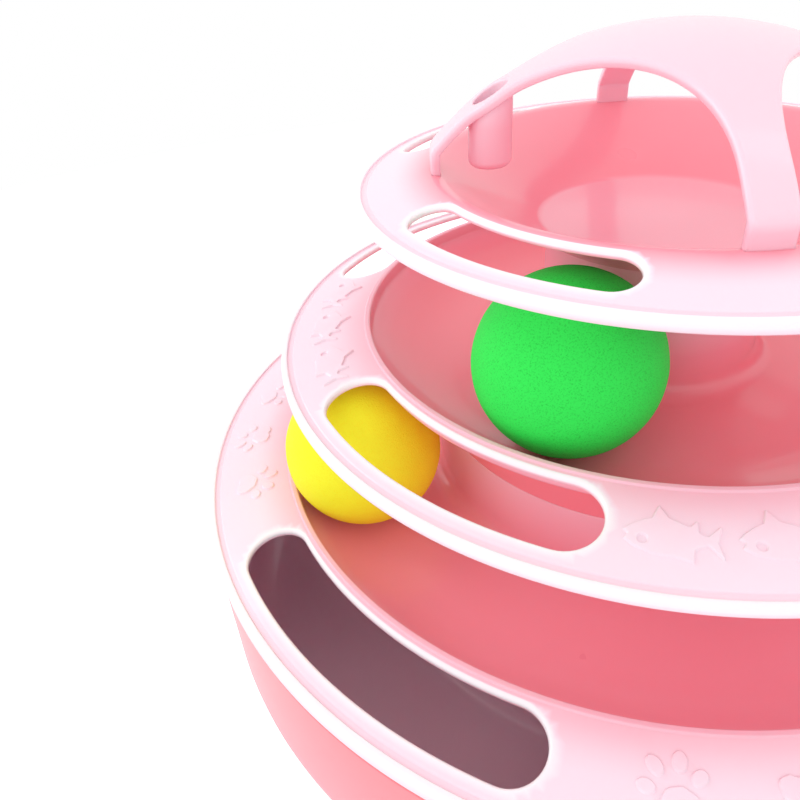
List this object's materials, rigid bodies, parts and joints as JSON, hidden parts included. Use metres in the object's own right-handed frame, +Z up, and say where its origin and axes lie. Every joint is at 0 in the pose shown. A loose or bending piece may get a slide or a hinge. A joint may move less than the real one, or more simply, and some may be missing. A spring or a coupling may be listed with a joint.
{
  "type": "cat ball track toy",
  "caption": "Round tiered ball-track toy for cats: bowl-shaped base, slotted trays that narrow upwards, captive rolling balls and an arched crossbar with a wand socket.",
  "frame": {"origin": "centre of the underside of the foot pads, on the tower's axis", "axes": "+Z up along the tower's axis; the slots face X and Y; the crossbar's legs stand on the diagonals, with the wand socket at -X -Y"},
  "size_m": [0.2486, 0.2486, 0.16],
  "materials": {
    "pink": "gloss",
    "pale_pink": "gloss",
    "green": "fine texture",
    "yellow": "satin",
    "blue": "satin",
    "foot_rubber": "matte"
  },
  "bodies": {
    "base": {"base_bowl": "pink", "foot_1": "foot_rubber", "foot_2": "foot_rubber", "foot_3": "foot_rubber", "foot_4": "foot_rubber"},
    "lower_level": {"lower_tray": "pale_pink", "lower_track": "pale_pink"},
    "middle_level": {"middle_tray": "pale_pink", "middle_track": "pale_pink"},
    "upper_level": {"upper_tray": "pale_pink", "crossbar": "pale_pink"},
    "base_runner": {"base_ball": "blue"},
    "yellow_runner": {"yellow_ball": "yellow"},
    "green_runner": {"green_ball": "green"}
  },
  "joints": [
    {"name": "lower_twist", "type": "hinge", "parent": "base", "child": "lower_level", "pos_m": [0, 0, 0.0234], "axis": [0, 0, 1], "range_deg": [0, 25]},
    {"name": "middle_twist", "type": "hinge", "parent": "lower_level", "child": "middle_level", "pos_m": [0, 0, 0.065], "axis": [0, 0, 1], "range_deg": [0, 25]},
    {"name": "upper_twist", "type": "hinge", "parent": "middle_level", "child": "upper_level", "pos_m": [0, 0, 0.101], "axis": [0, 0, 1], "range_deg": [0, 25]},
    {"name": "base_ball_run", "type": "hinge", "parent": "base", "child": "base_runner", "pos_m": [0, 0, 0.0245], "axis": [0, 0, 1], "continuous": true},
    {"name": "yellow_ball_run", "type": "hinge", "parent": "lower_level", "child": "yellow_runner", "pos_m": [0, 0, 0.0661], "axis": [0, 0, 1], "continuous": true},
    {"name": "green_ball_run", "type": "hinge", "parent": "middle_level", "child": "green_runner", "pos_m": [0, 0, 0.1021], "axis": [0, 0, 1], "continuous": true}
  ]
}
